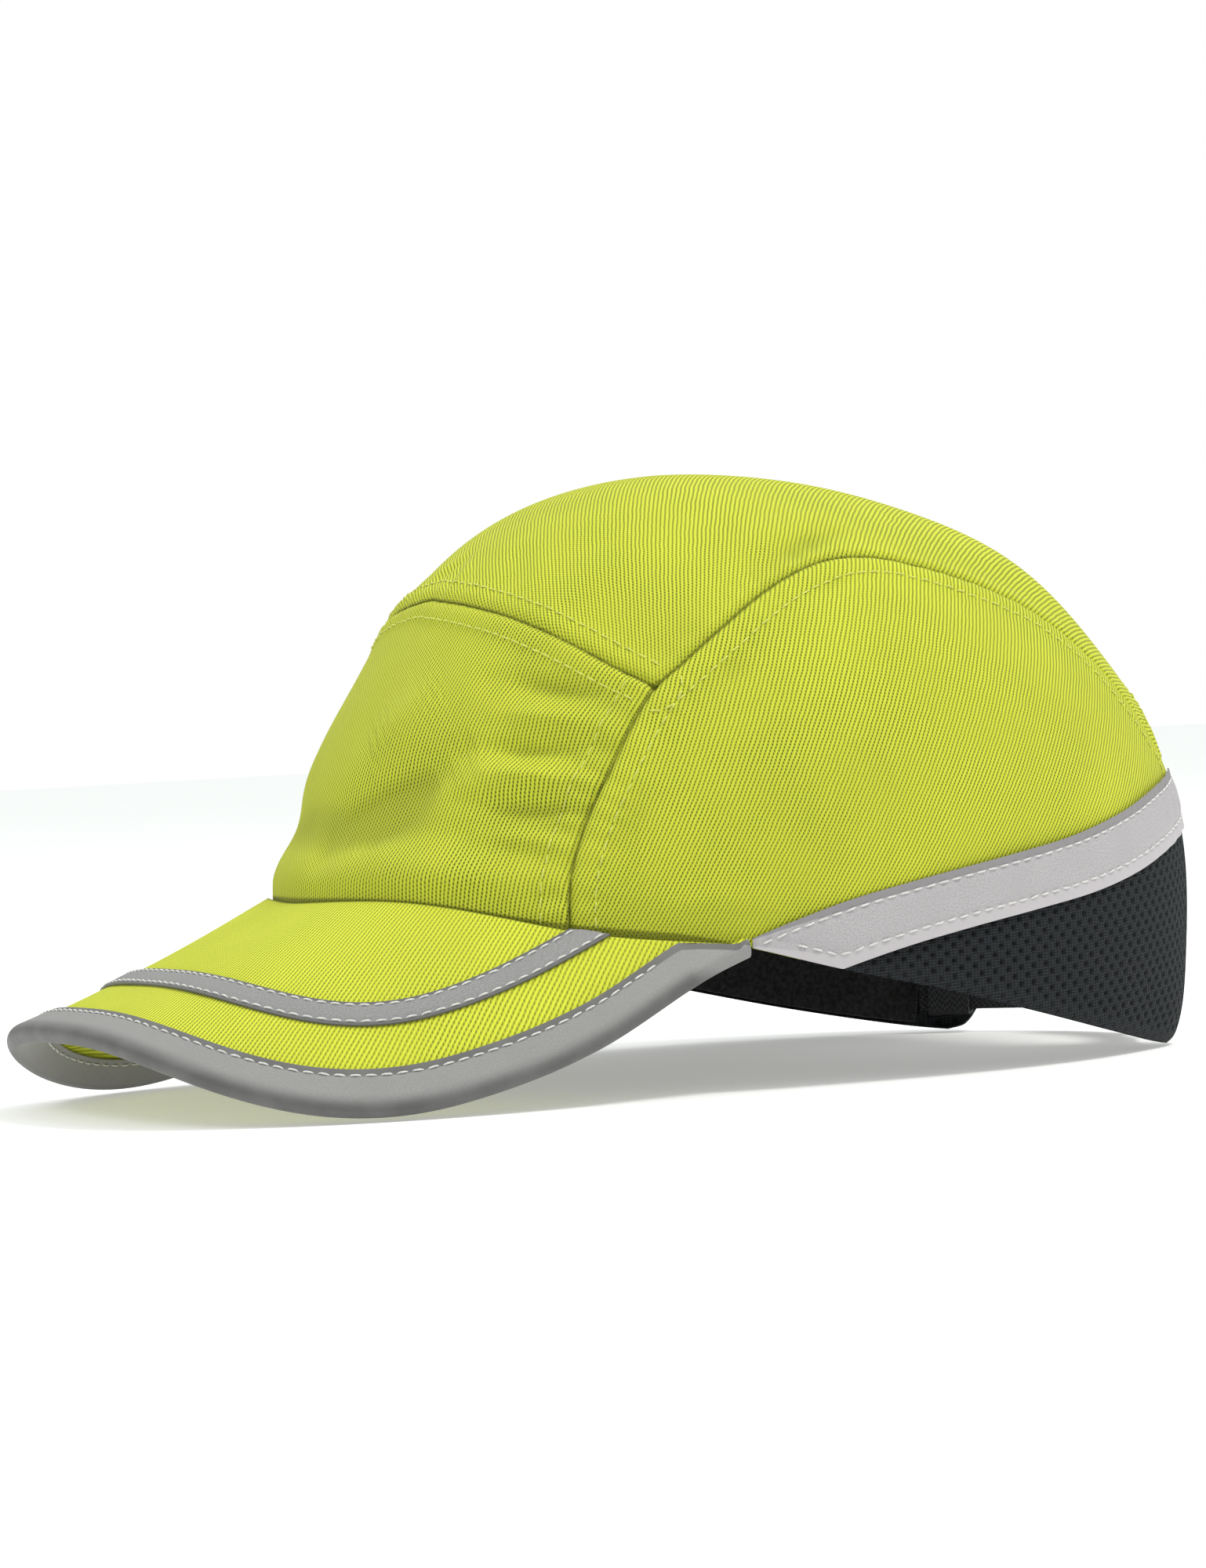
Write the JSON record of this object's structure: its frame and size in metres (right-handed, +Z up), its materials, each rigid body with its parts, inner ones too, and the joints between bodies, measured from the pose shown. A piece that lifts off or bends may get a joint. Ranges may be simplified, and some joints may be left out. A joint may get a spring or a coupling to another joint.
{
  "type": "bump cap",
  "caption": "Hi-vis baseball-style bump cap: twill crown and visor, reflective bindings, black mesh lower sides, lift-out hard shell with foam pads, rear hook-and-loop size strap.",
  "frame": {"origin": "on the table, under the middle of the cap's bounding box", "axes": "front of the cap faces -Y, wearer's left is +X, +Z is up; the cap stands on its visor's sides and its rear hem"},
  "size_m": [0.1814, 0.2722, 0.1359],
  "materials": {
    "lime_twill": "hi-vis lime polyester-cotton twill, softly lit sheen",
    "black_mesh": "black birdseye knit mesh",
    "grey_reflective": "grey glass-bead retroreflective tape",
    "lining_tape": "matt woven tape",
    "sweatband_cloth": "towelling-faced cotton band",
    "visor_plastic": "flexible polyethylene board",
    "shell_plastic": "satin black ABS",
    "trim_cloth": "folded woven edge tape",
    "pad_foam": "closed-cell EVA foam",
    "hook_tape": "hook side of hook-and-loop tape",
    "loop_tape": "loop side of hook-and-loop tape",
    "strap_webbing": "woven polyester webbing"
  },
  "bodies": {
    "cap": {"front_panel": "lime_twill", "crown_panel": "lime_twill", "side_panel_left": "lime_twill", "side_panel_right": "lime_twill", "mesh_panel_left": "black_mesh", "mesh_panel_right": "black_mesh", "reflective_tape_left": "grey_reflective", "reflective_tape_right": "grey_reflective", "seam_tape_left": "lining_tape", "seam_tape_right": "lining_tape", "front_seam_tape": "lining_tape", "opening_facing": "lining_tape", "care_label": "lining_tape", "sweatband": "sweatband_cloth", "visor_board": "visor_plastic", "visor_top_cover": "lime_twill", "visor_under_cover": "lime_twill", "visor_edge_binding": "grey_reflective", "visor_reflective_strip": "grey_reflective", "strap_channel": "strap_webbing", "crown_loop_dot": "loop_tape"},
    "shell_insert": {"hard_shell": "shell_plastic", "shell_rim_trim": "trim_cloth", "front_pad": "pad_foam", "rear_pad": "pad_foam", "left_side_pad": "pad_foam", "right_side_pad": "pad_foam", "crown_pad": "pad_foam", "crown_hook_dot": "hook_tape"},
    "strap_root": {"strap_right_root": "strap_webbing"},
    "strap_tail": {"strap_right_tail": "strap_webbing", "hook_patch": "hook_tape"},
    "left_strap": {"strap_left": "strap_webbing", "loop_patch": "loop_tape"}
  },
  "joints": [
    {"name": "shell_insert_slide", "type": "slide", "parent": "cap", "child": "shell_insert", "axis": [0, 0, -1], "range_m": [0, 0.14]},
    {"name": "strap_size_turn", "type": "hinge", "parent": "cap", "child": "strap_root", "pos_m": [0, 0.06895, 0], "axis": [0, 0, 1], "range_deg": [-8, 6]},
    {"name": "strap_peel", "type": "hinge", "parent": "strap_root", "child": "strap_tail", "pos_m": [-0.0336, 0.12715, 0], "axis": [0, 0, 1], "range_deg": [0, 100]},
    {"name": "left_strap_bend", "type": "hinge", "parent": "cap", "child": "left_strap", "pos_m": [0.04973, 0.11533, 0], "axis": [0, 0, 1], "range_deg": [0, 22]}
  ]
}
